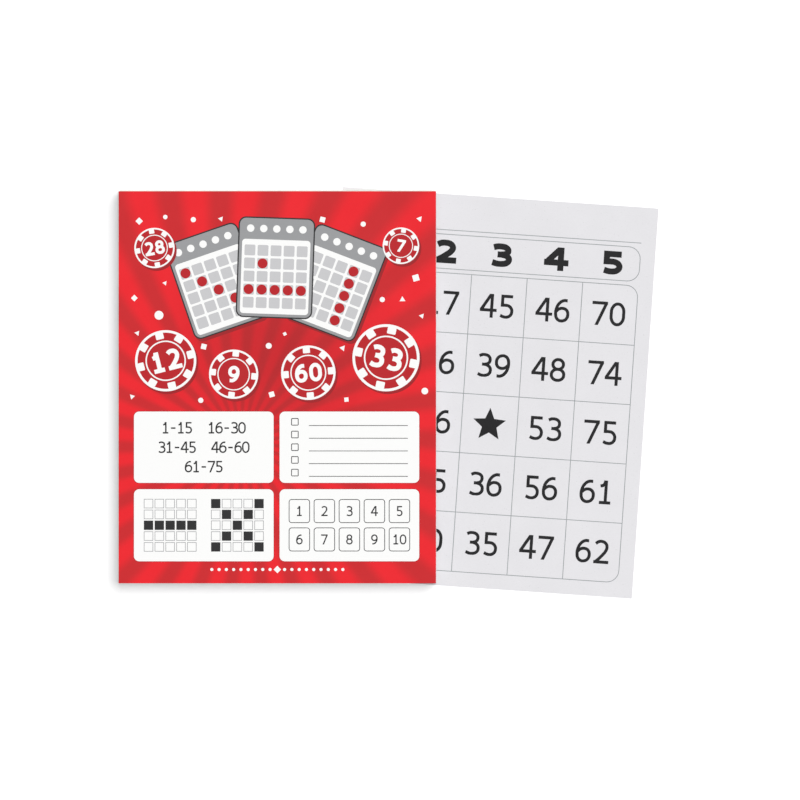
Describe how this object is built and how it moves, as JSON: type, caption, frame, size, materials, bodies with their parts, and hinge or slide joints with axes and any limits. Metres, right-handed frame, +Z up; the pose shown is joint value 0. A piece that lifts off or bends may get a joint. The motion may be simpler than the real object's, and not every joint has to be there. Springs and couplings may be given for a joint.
{
  "type": "bingo card pad",
  "caption": "Flat tear-off pad of printed bingo cards with a paper cover, back board and glued head, and one card torn off and lying half under it.",
  "frame": {"origin": "middle of the outline of the pad and the torn-off card together, on the surface they lie on", "axes": "+X to the right across the pad, towards the torn-off card, +Y to the pad's glued head, +Z up"},
  "size_m": [0.1448, 0.1106, 0.008],
  "materials": {
    "cover_paper": "satin",
    "newsprint": "matte",
    "greyboard": "matte",
    "padding_glue": "satin"
  },
  "bodies": {
    "pad": {"back_board": "greyboard", "binding_glue": "padding_glue", "card_06": "newsprint", "card_07": "newsprint", "card_08": "newsprint", "card_09": "newsprint", "card_10": "newsprint", "card_11": "newsprint", "card_12": "newsprint", "card_13": "newsprint", "card_14": "newsprint", "card_15": "newsprint", "card_16": "newsprint", "card_17": "newsprint", "card_18": "newsprint", "card_19": "newsprint", "card_20": "newsprint", "card_21": "newsprint", "card_22": "newsprint", "card_23": "newsprint", "card_24": "newsprint", "card_25": "newsprint", "card_26": "newsprint", "card_27": "newsprint", "card_28": "newsprint", "card_29": "newsprint", "card_30": "newsprint", "card_31": "newsprint", "card_32": "newsprint", "card_33": "newsprint", "card_34": "newsprint", "card_35": "newsprint", "card_36": "newsprint", "card_37": "newsprint", "card_38": "newsprint", "card_39": "newsprint", "card_40": "newsprint", "card_41": "newsprint", "card_42": "newsprint", "card_43": "newsprint", "card_44": "newsprint", "card_45": "newsprint", "card_46": "newsprint", "card_47": "newsprint", "card_48": "newsprint", "card_49": "newsprint", "cards_50_to_59": "newsprint", "cards_60_to_69": "newsprint", "cards_70_to_79": "newsprint", "cards_80_to_89": "newsprint", "cards_90_to_99": "newsprint"},
    "cover": {"front_cover": "cover_paper"},
    "card_1": {"card_01": "newsprint"},
    "card_2": {"card_02": "newsprint"},
    "card_3": {"card_03": "newsprint"},
    "card_4": {"card_04": "newsprint"},
    "card_5": {"card_05": "newsprint"},
    "torn_off_card": {"loose_card": "newsprint"}
  },
  "joints": [
    {"name": "cover_fold", "type": "hinge", "parent": "pad", "child": "cover", "pos_m": [-0.02985, 0.05395, 0.00797], "axis": [-1, 0, 0], "range_deg": [0, 175]},
    {"name": "card_1_tear_off", "type": "slide", "parent": "pad", "child": "card_1", "axis": [0, -1, 0], "range_m": [0, 0.11]},
    {"name": "card_2_tear_off", "type": "slide", "parent": "pad", "child": "card_2", "axis": [0, -1, 0], "range_m": [0, 0.11]},
    {"name": "card_3_tear_off", "type": "slide", "parent": "pad", "child": "card_3", "axis": [0, -1, 0], "range_m": [0, 0.11]},
    {"name": "card_4_tear_off", "type": "slide", "parent": "pad", "child": "card_4", "axis": [0, -1, 0], "range_m": [0, 0.11]},
    {"name": "card_5_tear_off", "type": "slide", "parent": "pad", "child": "card_5", "axis": [0, -1, 0], "range_m": [0, 0.11]},
    {"name": "torn_off_card_slide", "type": "slide", "parent": "pad", "child": "torn_off_card", "axis": [0.9977, -0.0684, 0], "range_m": [-0.05, 0.09]}
  ]
}
